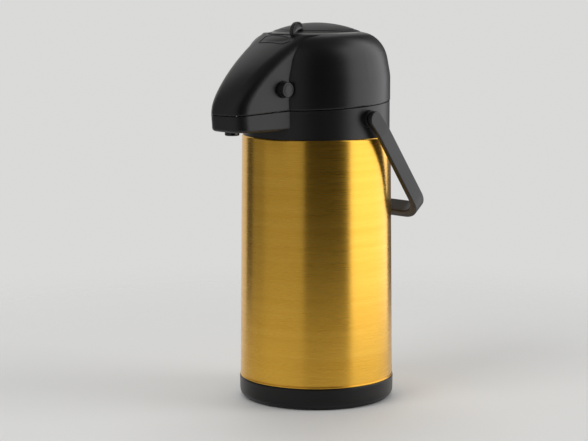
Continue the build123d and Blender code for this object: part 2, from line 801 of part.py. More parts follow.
# Lock lever: a fin above the plate's rim, a neck through the slot and a shoe under the wall
lever_turn = radians(lock_swing / 2 - 90)
lever_plane = Plane(
    origin=(0, 0, 0),
    x_dir=(cos(lever_turn), sin(lever_turn), 0),
    z_dir=(sin(lever_turn), -cos(lever_turn), 0),
)
clear_sphere = plate_sphere + lock_fin_clearance
fin_inner_z = centre_z + sqrt(clear_sphere**2 - lock_fin_inner**2)
fin_outer_z = dome_top - dome_crown_slope * (lock_fin_outer - plate_opening_radius) + lock_fin_clearance
fin_tilt = atan2(fin_inner_z - fin_outer_z, lock_fin_outer - lock_fin_inner)
fin_middle = ((lock_fin_inner + lock_fin_outer) / 2, (fin_inner_z + fin_outer_z) / 2)
fin_crest = (fin_middle[0] + lock_fin_height * sin(fin_tilt), fin_middle[1] + lock_fin_height * cos(fin_tilt))
shoe_bottom = dome_top - lock_shoe_drop
with BuildPart() as lock_lever:
    with BuildSketch(lever_plane):
        with BuildLine():
            ThreePointArc((lock_fin_inner, fin_inner_z), fin_crest, (lock_fin_outer, fin_outer_z))
            Line((lock_fin_outer, fin_outer_z), (lock_fin_inner, fin_inner_z))
        make_face()
    extrude(amount=lock_fin_thickness / 2, both=True)
    fillet(edges().filter_by(GeomType.CIRCLE), radius=lock_fin_round)
    with BuildSketch(Plane.XZ):
        with BuildLine():
            sphere_foot = (0, centre_z - clear_sphere)
            sphere_top = (0, centre_z + clear_sphere)
            sphere_arc = ThreePointArc(sphere_foot, (clear_sphere, centre_z), sphere_top)
            Line(sphere_arc @ 1, sphere_arc @ 0)
        make_face()
    revolve(axis=Axis.Z, mode=Mode.SUBTRACT)
    with BuildSketch(lever_plane):
        with Locations((lock_slot_middle, (shoe_bottom + fin_middle[1]) / 2)):
            Rectangle(lock_slot_width - 2 * running_gap, fin_middle[1] - shoe_bottom)
    extrude(amount=lock_neck_width / 2, both=True)
    with BuildSketch(lever_plane):
        shoe_inner = plate_opening_radius + guide_wall + running_gap
        with Locations(((shoe_inner + lock_shoe_reach) / 2, shoe_bottom + lock_shoe_thickness / 2)):
            Rectangle(lock_shoe_reach - shoe_inner, lock_shoe_thickness)
    extrude(amount=lock_shoe_width / 2, both=True)
write(lock_lever.part, "lock_lever")

# Release buttons: a round cap with a flange behind the wall and a stem in the rib. A latch on the
# stem reaches below the seam, and a spring lies between the latch's eye and the rib.
for side, hand in hands:
    with BuildPart() as button:
        rod_x(button_radius, button_y, button_z, hand * button_seat_x, hand * button_reach)
        fillet(edges().sort_by(Axis.X)[-1 if hand > 0 else 0], radius=button_round)
        flange_radius = button_radius + button_flange_reach
        rod_x(flange_radius, button_y, button_z, hand * button_flange_x, hand * button_seat_x)
        rod_x(button_stem_radius, button_y, button_z, hand * button_stem_end, hand * button_flange_x)
    write(button.part, f"button_{side}")

    with BuildPart() as latch:
        strip_x = sorted((hand * latch_x, hand * button_flange_x))
        hook_x = sorted((hand * button_flange_x, hand * (button_flange_x + latch_hook)))
        leg_y = (button_y - latch_width / 2, button_y + latch_width / 2)
        block((strip_x[0], leg_y[0], latch_bottom), (strip_x[1], leg_y[1], button_z))
        block((hook_x[0], leg_y[0], latch_bottom), (hook_x[1], leg_y[1], latch_bottom + latch_hook_height))
        rod_x(latch_eye_radius, button_y, button_z, hand * latch_x, hand * button_flange_x)
        eye_bore = button_stem_radius + pin_gap
        rod_x(eye_bore, button_y, button_z, hand * latch_x, hand * button_flange_x, mode=Mode.SUBTRACT)
    write(latch.part, f"latch_{side}")

    seat = hand * (button_rib_face + button_spring_wire / 2)
    with BuildPart() as button_spring:
        add(
            coil(
                button_spring_radius,
                button_spring_wire,
                latch_x - button_rib_face - button_spring_wire,
                button_spring_turns,
                Plane(origin=(seat, button_y, button_z), z_dir=(hand, 0, 0)),
            )
        )
    write(button_spring.part, f"button_spring_{side}")

# Bail: one strap from pivot to pivot, with a thicker grip across the back
bail_plane = Plane(
    origin=(0, 0, pivot_height),
    x_dir=(1, 0, 0),
    z_dir=(0, cos(radians(bail_rest_angle)), sin(radians(bail_rest_angle))),
)
strap_inner = strap_outer - strap_thickness
bail_inner_reach = bail_reach - grip_thickness
strap_end = -strap_width / 2
with BuildPart() as bail:
    with BuildSketch(bail_plane) as bail_face:
        with BuildLine():
            Polyline(
                (strap_outer, strap_end),
                (strap_outer, strap_straight),
                (strap_corner_x, bail_reach),
                (-strap_corner_x, bail_reach),
                (-strap_outer, strap_straight),
                (-strap_outer, strap_end),
                close=True,
            )
        make_face()
        fillet(vertices().group_by(Axis.Y)[-1], radius=bail_corner_round)
        fillet(vertices().filter_by(lambda v: abs(v.Y - strap_straight) < pin_gap), radius=bail_knee_round)
        with BuildSketch(mode=Mode.PRIVATE) as bail_window:
            with BuildLine():
                Polyline(
                    (strap_inner, strap_end),
                    (strap_inner, strap_straight),
                    (strap_corner_x - strap_thickness, bail_inner_reach),
                    (strap_thickness - strap_corner_x, bail_inner_reach),
                    (-strap_inner, strap_straight),
                    (-strap_inner, strap_end),
                    close=True,
                )
            make_face()
            fillet(vertices().group_by(Axis.Y)[-1], radius=bail_corner_round - strap_thickness)
            knees = vertices().filter_by(lambda v: abs(v.Y - strap_straight) < pin_gap)
            fillet(knees, radius=bail_knee_round - strap_thickness)
        add(bail_window.sketch, mode=Mode.SUBTRACT)
    extrude(amount=strap_width / 2, both=True)
    end_edges = edges().filter_by(Axis.X).filter_by(lambda e: e.length < strap_thickness + running_gap)
    fillet(end_edges, radius=strap_width / 2 - pin_gap)
    flat_faces = faces().filter_by(bail_plane)
    fillet(flat_faces.edges(), radius=strap_edge_round)
    pin_seat = pivot_pin_outer_end + pin_gap
    rod_x(pivot_pin_radius + pin_gap, 0, pivot_height, -pin_seat, pin_seat, mode=Mode.SUBTRACT)
write(bail.part, "bail")

# Pivot pins: plain pins from the collar's bosses into blind seats in the strap's ends
for side, hand in hands:
    with BuildPart() as pivot_pin:
        rod_x(pivot_pin_radius, 0, pivot_height, hand * pivot_pin_inner_end, hand * pivot_pin_outer_end)
    write(pivot_pin.part, f"pivot_pin_{side}")
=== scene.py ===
# %% [markdown]
# # Dressing a vacuum airpot
# The pot is already built as a fixed frame of exact pieces: a brushed metal jacket, a black moulded base,
# collar and lid, a press plate, a lock lever, two release buttons and a carrying bail. In this lesson
# those pieces get their finishes, and the ones whose edges catch the light are modelled again as fine
# meshes. Everything is in metres, in the frame's own axes: Z is up, the spout points to -Y and the bail
# rests at +Y.

# %% Load the frame
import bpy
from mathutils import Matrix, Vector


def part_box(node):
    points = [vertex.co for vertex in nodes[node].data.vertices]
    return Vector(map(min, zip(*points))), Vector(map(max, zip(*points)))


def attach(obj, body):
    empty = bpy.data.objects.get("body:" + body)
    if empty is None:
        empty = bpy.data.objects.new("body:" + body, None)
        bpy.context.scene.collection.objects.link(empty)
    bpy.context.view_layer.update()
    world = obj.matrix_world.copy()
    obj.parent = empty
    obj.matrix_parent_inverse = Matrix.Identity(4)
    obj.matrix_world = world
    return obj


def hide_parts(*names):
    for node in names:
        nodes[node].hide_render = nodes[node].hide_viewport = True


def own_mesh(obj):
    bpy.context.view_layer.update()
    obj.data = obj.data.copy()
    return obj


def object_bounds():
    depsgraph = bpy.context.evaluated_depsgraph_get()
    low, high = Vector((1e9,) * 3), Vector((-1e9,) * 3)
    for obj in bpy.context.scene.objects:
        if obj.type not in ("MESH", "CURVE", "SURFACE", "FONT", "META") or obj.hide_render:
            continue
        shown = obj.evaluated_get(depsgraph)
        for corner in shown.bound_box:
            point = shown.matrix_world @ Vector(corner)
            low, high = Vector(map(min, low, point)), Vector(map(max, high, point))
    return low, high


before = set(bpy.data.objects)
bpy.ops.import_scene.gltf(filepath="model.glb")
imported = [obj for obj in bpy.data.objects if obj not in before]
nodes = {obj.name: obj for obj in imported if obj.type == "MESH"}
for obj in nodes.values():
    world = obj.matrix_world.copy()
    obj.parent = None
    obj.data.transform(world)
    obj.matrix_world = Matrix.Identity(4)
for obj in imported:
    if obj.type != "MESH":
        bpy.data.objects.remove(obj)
cad_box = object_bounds()
print("pieces in the frame:", len(nodes))

# %% [markdown]
# The modules used below are Blender's own, with NumPy for rows of points. A few words come up often
# enough to get short names: a millimetre, the pot's height, and the low and high corners of the jacket
# and base.

# %% Modules and units
from math import atan2, cos, hypot, pi, radians, sin, sqrt, tan

import bmesh
import bpy
import numpy as np
from mathutils import Matrix, Vector
from mathutils.bvhtree import BVHTree

mm = 0.001
jacket_low, jacket_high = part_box("jacket")
base_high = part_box("base_ring")[1]
pot_height = cad_box[1][2]
print("body across", round(base_high.x * 2 / mm, 1), "mm, height", round(pot_height / mm, 1), "mm")

# %% [markdown]
# ## Camera
# The photograph was taken from a little above the pot's top, from the front right, with a long lens: the
# rims are shallow ellipses and the body hardly narrows. A camera 1.88 m from the axis, 0.44 m up and
# tilted 8 degrees down gives the same ellipses. The pot stands right of the picture's middle, so the lens
# is shifted a little to the side, and the camera still looks towards the pot's axis.

# %% Camera
picture_width = 588
pot_axis_pixel = 316.3
camera_distance = 1.877
camera_height = 0.444
camera_turn = radians(46)
camera_tilt = radians(8.13)
focal_pixels = 1905
sensor_width = 36

camera_data = bpy.data.cameras.new("camera")
camera_data.sensor_width = sensor_width
camera_data.lens = focal_pixels * sensor_width / picture_width
camera_data.shift_x = (picture_width / 2 - pot_axis_pixel) / picture_width
camera = bpy.data.objects.new("camera", camera_data)
camera.location = (camera_distance * sin(camera_turn), -camera_distance * cos(camera_turn), camera_height)
camera.rotation_euler = (pi / 2 - camera_tilt, 0, camera_turn)
bpy.context.scene.collection.objects.link(camera)
bpy.context.scene.camera = camera
print("lens", round(camera_data.lens, 1), "mm, shift", round(camera_data.shift_x, 4))

# %% [markdown]
# ## Floor
# The pot stands on a plain pale floor. A wide disc is enough. Away from the pot it thins out into
# nothing, so it passes into the pale surroundings and no edge or horizon shows behind the pot. The fade
# also keeps the pale floor from shining too far up the jacket. The disc is part of the stage and not of
# the object.

# %% Floor
floor_radius = 2.4
floor_sides = 96
floor_roughness = 0.6
floor_colour = (0.74, 0.74, 0.73)
fade_start = 0.3
fade_end = 0.85

floor_mesh = bpy.data.meshes.new("floor")
shape = bmesh.new()
bmesh.ops.create_circle(shape, cap_ends=True, segments=floor_sides, radius=floor_radius)
shape.to_mesh(floor_mesh)
shape.free()
floor = bpy.data.objects.new("floor", floor_mesh)
bpy.context.scene.collection.objects.link(floor)
floor_finish = bpy.data.materials.new("floor")
floor_finish.use_nodes = True
floor_tree = floor_finish.node_tree
floor_shader = floor_tree.nodes["Principled BSDF"]
floor_shader.inputs["Base Color"].default_value = (*floor_colour, 1)
floor_shader.inputs["Roughness"].default_value = floor_roughness
floor_place = floor_tree.nodes.new("ShaderNodeTexCoord")
floor_reach = floor_tree.nodes.new("ShaderNodeVectorMath")
floor_reach.operation = "LENGTH"
floor_tree.links.new(floor_place.outputs["Object"], floor_reach.inputs[0])
floor_fade = floor_tree.nodes.new("ShaderNodeMapRange")
floor_fade.interpolation_type = "SMOOTHSTEP"
floor_fade.inputs["From Min"].default_value = fade_start
floor_fade.inputs["From Max"].default_value = fade_end
floor_tree.links.new(floor_reach.outputs["Value"], floor_fade.inputs["Value"])
floor_gone = floor_tree.nodes.new("ShaderNodeBsdfTransparent")
floor_mix = floor_tree.nodes.new("ShaderNodeMixShader")
floor_tree.links.new(floor_fade.outputs[0], floor_mix.inputs[0])
floor_tree.links.new(floor_shader.outputs[0], floor_mix.inputs[1])
floor_tree.links.new(floor_gone.outputs[0], floor_mix.inputs[2])
floor_tree.links.new(floor_mix.outputs[0], floor_tree.nodes["Material Output"].inputs["Surface"])
floor_mesh.materials.append(floor_finish)
print("floor radius", floor_radius, "m, gone beyond", fade_end, "m")

# %% [markdown]
# ## Light
# The surroundings are one plain pale grey. The camera, mirrors and glass see it at its own brightness,
# and matt surfaces are lit by it at a lower level, so the two can be set apart.

# %% World
surroundings = (0.70, 0.70, 0.69)
fill_level = 0.42

world = bpy.data.worlds.new("studio")
bpy.context.scene.world = world
world.use_nodes = True
world_tree = world.node_tree
world_tree.nodes.clear()
fill_light = world_tree.nodes.new("ShaderNodeBackground")
fill_light.inputs["Color"].default_value = (fill_level, fill_level, fill_level, 1)
pale_room = world_tree.nodes.new("ShaderNodeBackground")
pale_room.inputs["Color"].default_value = (*surroundings, 1)
ray = world_tree.nodes.new("ShaderNodeLightPath")
seen = ray.outputs["Is Camera Ray"]
for kind in ("Is Glossy Ray", "Is Transmission Ray"):
    either = world_tree.nodes.new("ShaderNodeMath")
    either.operation = "MAXIMUM"
    world_tree.links.new(seen, either.inputs[0])
    world_tree.links.new(ray.outputs[kind], either.inputs[1])
    seen = either.outputs[0]
room_mix = world_tree.nodes.new("ShaderNodeMixShader")
world_tree.links.new(seen, room_mix.inputs[0])
world_tree.links.new(fill_light.outputs[0], room_mix.inputs[1])
world_tree.links.new(pale_room.outputs[0], room_mix.inputs[2])
world_out = world_tree.nodes.new("ShaderNodeOutputWorld")
world_tree.links.new(room_mix.outputs[0], world_out.inputs["Surface"])
bpy.context.scene.view_settings.view_transform = "Standard"
print("surroundings", surroundings, "fill", fill_level)

# %% [markdown]
# ### Cards
# Polished and brushed metal shows what stands round it as upright bands, and in a bare pale room the
# jacket would look like yellow card. Photographers stand soft boxes and black cards round such a pot, and
# so does this scene. Each card is part of an upright cylinder round the pot, and only reflections see it,
# so it neither shows nor throws a shadow. The cards hide most of the pale room from the metal, so the
# gold shows darker and brighter than its own colour in turn. Angles are counted round the pot from the
# camera, and the levels are brightnesses.

# %% Cards
card_distance = 1.5
card_foot = -1.4
card_top = 2.6
card_step = 3


def glowing(name, mesh, level):
    """A mesh put on the stage so that only reflections see it, glowing at a level."""
    glow = bpy.data.materials.new(name)
    glow.use_nodes = True
    tree = glow.node_tree
    tree.nodes.remove(tree.nodes["Principled BSDF"])
    lit = tree.nodes.new("ShaderNodeEmission")
    lit.inputs["Color"].default_value = (level, level, level, 1)
    tree.links.new(lit.outputs[0], tree.nodes["Material Output"].inputs["Surface"])
    mesh.materials.append(glow)
    stand = bpy.data.objects.new(name, mesh)
    bpy.context.scene.collection.objects.link(stand)
    stand.visible_camera = False
    stand.visible_diffuse = False
    stand.visible_transmission = False
    stand.visible_shadow = False


def card(name, start, end, level):
    """An upright curved card between two angles from the camera."""
    points = []
    faces = []
    steps = max(2, round(abs(end - start) / card_step))
    for step in range(steps + 1):
        angle = camera_turn + radians(start + (end - start) * step / steps)
        for height in (card_foot, card_top):
            points.append((card_distance * sin(angle), -card_distance * cos(angle), height))
    for step in range(steps):
        low = 2 * step
        faces.append((low, low + 2, low + 3, low + 1))
    mesh = bpy.data.meshes.new(name)
    mesh.from_pydata(points, [], faces)
    glowing(name, mesh, level)


cards = {
    "black_card": (-18, 49, 0.015),
    "grey_card": (-84, -18, 0.36),
    "dim_card": (-112, -84, 0.25),
    "dark_gap_card": (-131, -112, 0.06),
    "soft_box": (53, 137, 1.75),
    "back_card": (137, 172, 0.12),
}
for name, (start, end, level) in cards.items():
    card(name, start, end, level)
print("cards:", len(cards))

# %% [markdown]
# The top of the pot is black moulded plastic, and in the photograph it mirrors something dark. A level
# disc overhead does that here, again for reflections alone.

# %% Overhead card
overhead_radius = 1.5
overhead_sides = 64
overhead_level = 0.10

overhead_mesh = bpy.data.meshes.new("overhead_card")
shape = bmesh.new()
bmesh.ops.create_circle(shape, cap_ends=True, segments=overhead_sides, radius=overhead_radius)
bmesh.ops.translate(shape, verts=shape.verts, vec=(0, 0, card_top))
shape.to_mesh(overhead_mesh)
shape.free()
glowing("overhead_card", overhead_mesh, overhead_level)
print("overhead card at", card_top, "m")

# %% [markdown]
# Three soft area lamps light the matt surfaces and the floor. They are large for their distance, so their
# shadows are soft. Reflections don't see them: what the metal mirrors is set by the cards, the floor and
# the pale room.

# %% Lamps
def soft_lamp(name, turn, distance, height, size, power):
    """A square area lamp aimed at the pot's middle. The turn is counted from the camera, in degrees."""
    data = bpy.data.lights.new(name, "AREA")
    data.shape = "SQUARE"
    data.size = size
    data.energy = power
    lamp = bpy.data.objects.new(name, data)
    angle = camera_turn + radians(turn)
    lamp.location = (distance * sin(angle), -distance * cos(angle), height)
    aim = Vector((0, 0, pot_height / 2)) - lamp.location
    lamp.rotation_euler = aim.to_track_quat("-Z", "Y").to_euler()
    lamp.visible_glossy = False
    bpy.context.scene.collection.objects.link(lamp)


soft_lamp("key_lamp", turn=-48, distance=1.7, height=1.7, size=1.2, power=16)
soft_lamp("side_lamp", turn=82, distance=1.8, height=1.2, size=1.0, power=12)
soft_lamp("back_lamp", turn=180, distance=1.0, height=2.2, size=1.4, power=14)
print("lamps: 3")

# %% [markdown]
# ## Finishes
# Each finish is one Principled shader with a few nodes for the detail that the real surface shows. One
# helper makes the material and sets the plain values on the shader's own sockets. The others make a noise
# that can be stretched, drive a socket or the colour with it, and turn it into a bump. The bump can lie
# over edges that are rounded a little for the light, as moulded edges really are.

# %% Finish helpers
noise_low = 0.3
noise_high = 0.7
edge_samples = 6


def shader_of(material):
    """The material's Principled shader."""
    return material.node_tree.nodes["Principled BSDF"]


def finish(name, colour, roughness, metallic=0.0, **sockets):
    """A material with its plain values set on its shader's sockets."""
    material = bpy.data.materials.new(name)
    material.use_nodes = True
    shader = shader_of(material)
    shader.inputs["Base Color"].default_value = (*colour, 1)
    shader.inputs["Roughness"].default_value = roughness
    shader.inputs["Metallic"].default_value = metallic
    for socket, value in sockets.items():
        shader.inputs[socket.replace("_", " ").title().replace("Ior", "IOR")].default_value = value
    return material


def noise(material, scale, stretch=(1, 1, 1), detail=3.0):
    """A noise on the piece's own coordinates, in metres, stretched along its axes. Returns its value."""
    tree = material.node_tree
    place = tree.nodes.new("ShaderNodeTexCoord")
    mapping = tree.nodes.new("ShaderNodeMapping")
    mapping.inputs["Scale"].default_value = stretch
    texture = tree.nodes.new("ShaderNodeTexNoise")
    texture.inputs["Scale"].default_value = scale
    texture.inputs["Detail"].default_value = detail
    tree.links.new(place.outputs["Object"], mapping.inputs["Vector"])
    tree.links.new(mapping.outputs[0], texture.inputs["Vector"])
    return texture.outputs["Fac"]


def spread(material, value, low, high, socket):
    """Maps a noise value to a range and drives one of the shader's sockets with it."""
    tree = material.node_tree
    fit = tree.nodes.new("ShaderNodeMapRange")
    fit.inputs["From Min"].default_value = noise_low
    fit.inputs["From Max"].default_value = noise_high
    fit.inputs["To Min"].default_value = low
    fit.inputs["To Max"].default_value = high
    tree.links.new(value, fit.inputs["Value"])
    tree.links.new(fit.outputs[0], shader_of(material).inputs[socket])


def tint(material, value, first, second):
    """Mixes two colours by a noise value into the base colour."""
    tree = material.node_tree
    ramp = tree.nodes.new("ShaderNodeValToRGB")
    ramp.color_ramp.elements[0].position = noise_low
    ramp.color_ramp.elements[1].position = noise_high
    ramp.color_ramp.elements[0].color = (*first, 1)
    ramp.color_ramp.elements[1].color = (*second, 1)
    tree.links.new(value, ramp.inputs[0])
    tree.links.new(ramp.outputs[0], shader_of(material).inputs["Base Color"])


def relief(material, value, depth, strength=1.0, edge=0.0):
    """A bump of a depth in metres from a noise value, over edges rounded by a radius."""
    tree = material.node_tree
    bump = tree.nodes.new("ShaderNodeBump")
    bump.inputs["Distance"].default_value = depth
    bump.inputs["Strength"].default_value = strength
    tree.links.new(value, bump.inputs["Height"])
    if edge:
        soft_edge = tree.nodes.new("ShaderNodeBevel")
        soft_edge.samples = edge_samples
        soft_edge.inputs["Radius"].default_value = edge
        tree.links.new(soft_edge.outputs[0], bump.inputs["Normal"])
    tree.links.new(bump.outputs[0], shader_of(material).inputs["Normal"])


print("finish helpers ready")

# %% [markdown]
# ### Brushed gold
# Such a jacket is usually stainless steel with a gold tint, brushed round the body. The scratches run
# round the pot, so a highlight is drawn out up and down, across them. Two things say this to the shader:
# an anisotropic reflection whose tangent goes round the Z axis, and a noise that is squeezed in Z until
# it is fine rings. The rings change the roughness and the bump a little, and a second, softer set of them
# changes the colour.

# %% Brushed gold
gold_colour = (0.85, 0.485, 0.072)
gold_dark = (0.80, 0.44, 0.058)

brushed_gold = finish(
    "brushed_gold", gold_colour, roughness=0.3, metallic=1.0, anisotropic=0.8, anisotropic_rotation=0.25,
)
around = brushed_gold.node_tree.nodes.new("ShaderNodeTangent")
around.direction_type = "RADIAL"
around.axis = "Z"
brushed_gold.node_tree.links.new(around.outputs[0], shader_of(brushed_gold).inputs["Tangent"])
fine_rings = noise(brushed_gold, scale=60, stretch=(0.35, 0.35, 55), detail=6)
soft_rings = noise(brushed_gold, scale=9, stretch=(0.5, 0.5, 18), detail=2)
spread(brushed_gold, fine_rings, low=0.25, high=0.33, socket="Roughness")
tint(brushed_gold, soft_rings, first=gold_dark, second=gold_colour)
relief(brushed_gold, fine_rings, depth=0.04 * mm, strength=0.35)
print("brushed gold ready")

# %% [markdown]
# ### Black mouldings
# The lid, collar, base and bail are black moulded plastic with a satin skin. Such a surface has a very
# fine grain from the etched mould and slightly uneven gloss, and its edges carry a small radius that
# shows as a thin pale line. The press plate's grain is coarser and the buttons' is finer, so each gets
# its own version. The lid's edge is given a wide radius, which softens the light in the hollow between
# beak and dome. One more version, a paler grey, is painted on the plate's rim as a painted highlight,
# in place of the bright line of light along it.

# %% Black mouldings
deep_black = (0.0036, 0.0036, 0.0038)
bail_tone = (0.006, 0.006, 0.0062)
button_tone = (0.007, 0.007, 0.0072)
lever_tone = (0.013, 0.013, 0.013)
# pale grey for the painted highlight on the plate's rim
painted_highlight_grey = (0.16, 0.16, 0.155)
small_edge = 0.3 * mm
fine_grain = 2200
cloud_scale = 14
smoother = 0.035
rougher = 0.045


def black_moulding(name, roughness, grain, depth, colour=deep_black, edge=0.5 * mm, shine=0.5):
    """Satin black plastic with an etched grain of a scale and a depth in millimetres."""
    material = finish(name, colour, roughness, specular_ior_level=shine)
    etched = noise(material, grain, detail=2)
    cloud = noise(material, cloud_scale, detail=3)
    spread(material, cloud, roughness - smoother, roughness + rougher, "Roughness")
    relief(material, etched, depth * mm, strength=0.5, edge=edge)
    return material


lid_black = black_moulding("lid_black", 0.36, grain=1900, depth=0.03, edge=2.4 * mm)
collar_black = black_moulding("collar_black", 0.40, grain=1900, depth=0.04, edge=0.8 * mm)
base_black = black_moulding("base_black", 0.33, grain=1700, depth=0.03, shine=0.32)
plate_black = black_moulding("plate_black", 0.42, grain=1300, depth=0.06, shine=0.35)
bail_black = black_moulding("bail_black", 0.42, grain=1700, depth=0.05, colour=bail_tone)
button_black = black_moulding(
    "button_black", 0.36, fine_grain, depth=0.03, colour=button_tone, edge=small_edge,
)
lever_black = black_moulding("lever_black", 0.34, fine_grain, depth=0.03, colour=lever_tone, edge=small_edge)
nozzle_black = black_moulding("nozzle_black", 0.22, fine_grain, depth=0.02, edge=small_edge)
# A paler grey painted on the plate's rim: a painted highlight standing in for its bright line of light.
rim_painted_highlight = black_moulding("rim_painted_highlight", 0.3, grain=1300, depth=0.05, colour=painted_highlight_grey, shine=0.8)
print("black mouldings ready: 9")

# %% [markdown]
# ### Inner finishes
# Inside the pot are a natural white stopper, pale silicone seals, dark bellows and drawn steel tubes, and
# some of them show when the lid is open. They get the same care: a slight yellowing in the white plastic,
# a dusty sheen on the rubber, and drawing marks along the upright tube. The flask's glass is silvered, so
# it is a mirror under a clear coat.

# %% Inner finishes
natural_white = finish("natural_white", (0.70, 0.69, 0.64), 0.42, subsurface_weight=0.15)
shader_of(natural_white).inputs["Subsurface Radius"].default_value = (2 * mm, 1.6 * mm, 1.2 * mm)
tint(natural_white, noise(natural_white, 30), first=(0.70, 0.69, 0.63), second=(0.76, 0.75, 0.70))
relief(natural_white, noise(natural_white, 1500, detail=2), depth=0.04 * mm, strength=0.4, edge=0.4 * mm)

pale_silicone = finish("pale_silicone", (0.62, 0.61, 0.57), 0.5, subsurface_weight=0.3)
shader_of(pale_silicone).inputs["Subsurface Radius"].default_value = (2 * mm, 2 * mm, 1.6 * mm)
spread(pale_silicone, noise(pale_silicone, 90), low=0.42, high=0.58, socket="Roughness")
relief(pale_silicone, noise(pale_silicone, 900), depth=0.03 * mm, strength=0.4, edge=small_edge)

dark_rubber = finish("dark_rubber", (0.022, 0.022, 0.024), 0.62, sheen_weight=0.15)
tint(dark_rubber, noise(dark_rubber, 120), first=(0.018, 0.018, 0.02), second=(0.032, 0.032, 0.034))
relief(dark_rubber, noise(dark_rubber, 1100), depth=0.06 * mm, strength=0.5, edge=small_edge)

drawn_steel = finish("drawn_steel", (0.60, 0.61, 0.62), 0.27, metallic=1.0)
drawn_marks = noise(drawn_steel, 420, stretch=(1, 1, 0.08))
spread(drawn_steel, drawn_marks, low=0.2, high=0.36, socket="Roughness")
relief(drawn_steel, noise(drawn_steel, 900, stretch=(1, 1, 0.05)), depth=0.02 * mm, strength=0.3)

silvered_glass = finish("silvered_glass", (0.83, 0.84, 0.86), 0.06, metallic=1.0, coat_weight=1.0)
spread(silvered_glass, noise(silvered_glass, 40), low=0.04, high=0.10, socket="Roughness")
relief(silvered_glass, noise(silvered_glass, 25), depth=0.2 * mm, strength=0.15)
print("inner finishes ready: 5")

# %% [markdown]
# ## Finishes on the frame's pieces
# The frame's pieces whose shape is right as it stands keep it and only change their finish. The ones that
# a finer mesh replaces below are dressed too, so none is left in plain grey. Every material slot of a
# node takes the new material.

# %% Dress the frame
dressed = {
    "lid_shell": lid_black,
    "collar": collar_black,
    "base_cap": base_black,
    "foot_pads": dark_rubber,
    "flask_cushion": pale_silicone,
    "flask_outer": silvered_glass,
    "flask_inner": silvered_glass,
    "neck_gasket": pale_silicone,
    "stopper": natural_white,
    "stopper_seal": pale_silicone,
    "dip_tube": drawn_steel,
    "outlet_tube": drawn_steel,
    "spout_nozzle": nozzle_black,
    "inner_cover": natural_white,
    "cover_screws": drawn_steel,
    "air_seal": pale_silicone,
    "valve_disc": pale_silicone,
    "bellows": dark_rubber,
    "return_spring": drawn_steel,
    "button_spring_right": drawn_steel,
    "button_spring_left": drawn_steel,
    "hinge_pin": drawn_steel,
    "pivot_pin_right": bail_black,
    "pivot_pin_left": bail_black,
    "jacket": brushed_gold,
    "base_ring": base_black,
    "press_plate": plate_black,
    "lock_lever": lever_black,
    "latch_right": natural_white,
    "latch_left": natural_white,
    "button_right": button_black,
    "button_left": button_black,
    "bail": bail_black,
}
for name, node in nodes.items():
    material = dressed[name]
    if not node.data.materials:
        node.data.materials.append(material)
    for index in range(len(node.data.materials)):
        node.data.materials[index] = material
print("dressed pieces:", len(dressed))

# %% [markdown]
# ## Turned pieces
# Many of the pot's pieces are round: the jacket is rolled into a cone, and the base ring, plate, bellows
# and buttons come from round moulds. Two helpers cover them all. The first takes the corners of half a
# section, each with a rounding, and rounds them. The second turns the resulting outline round an axis.

# %% Round the corners of an outline
arc_steps = 6


def rounded(corners):
    """A closed outline in metres from (radius, height, rounding) corners in millimetres."""
    outline = []
    for index, (across, up, rounding) in enumerate(corners):
        corner = Vector((across, up)) * mm
        if not rounding:
            outline.append(corner)
            continue
        before = Vector(corners[index - 1][:2]) * mm - corner
        after = Vector(corners[(index + 1) % len(corners)][:2]) * mm - corner
        half_angle = before.angle(after) / 2
        reach = min(rounding * mm / tan(half_angle), before.length * 0.5, after.length * 0.5)
        start = corner + before.normalized() * reach
        end = corner + after.normalized() * reach
        inward = (before.normalized() + after.normalized()).normalized()
        radius = reach * tan(half_angle)
        centre = corner + inward * (radius / sin(half_angle))
        first = start - centre
        last = end - centre
        sweep = first.angle(last)
        for step in range(arc_steps + 1):
            share = step / arc_steps
            spoke = (first * sin((1 - share) * sweep) + last * sin(share * sweep)) / sin(sweep)
            outline.append(centre + spoke)
    return outline


print("corner of 1 mm becomes", len(rounded([(0, 0, 0), (9, 0, 1), (9, 9, 0)])) - 2, "points")

# %% Turn an outline into a piece
sharp_angle = radians(32)
full_turn = 160
on_axis = 1e-6


def show(piece, body, slot, material, *stood_for):
    """Puts a finished piece in the scene on its body, in place of the frame's nodes. The slot is not used."""
    piece.data.materials.append(material)
    bpy.context.scene.collection.objects.link(piece)
    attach(piece, body)
    if stood_for:
        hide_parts(*stood_for)
    return piece


def smooth(mesh):
    """Smooth shading, with creases only where two faces meet at a real corner."""
    mesh.shade_smooth()
    mesh.set_sharp_from_angle(angle=sharp_angle)


def turned(name, outline, axis="Z", centre=(0, 0, 0), angles=None):
    """A closed outline of (radius, height) turned round an axis through a centre. Angles may be uneven."""
    if angles is None:
        angles = [2 * pi * step / full_turn for step in range(full_turn)]
    shape = bmesh.new()
    rings = []
    for across, up in outline:
        if across < on_axis:
            place = (0, 0, up) if axis == "Z" else (up, 0, 0)
            rings.append([shape.verts.new(place)])
            continue
        ring = []
        for angle in angles:
            if axis == "Z":
                place = (across * cos(angle), across * sin(angle), up)
            else:
                place = (up, across * cos(angle), across * sin(angle))
            ring.append(shape.verts.new(place))
        rings.append(ring)
    for index, ring in enumerate(rings):
        following = rings[(index + 1) % len(rings)]
        if len(ring) == 1 and len(following) == 1:
            continue
        for step in range(len(angles)):
            ahead = (step + 1) % len(angles)
            corners = [ring[step % len(ring)], ring[ahead % len(ring)]]
            corners += [following[ahead % len(following)], following[step % len(following)]]
            unique = list(dict.fromkeys(corners))
            shape.faces.new(unique)
    bmesh.ops.recalc_face_normals(shape, faces=shape.faces)
    mesh = bpy.data.meshes.new(name)
    shape.to_mesh(mesh)
    shape.free()
    mesh.transform(Matrix.Translation(centre))
    smooth(mesh)
    return bpy.data.objects.new(name, mesh)


print("turning helpers ready")

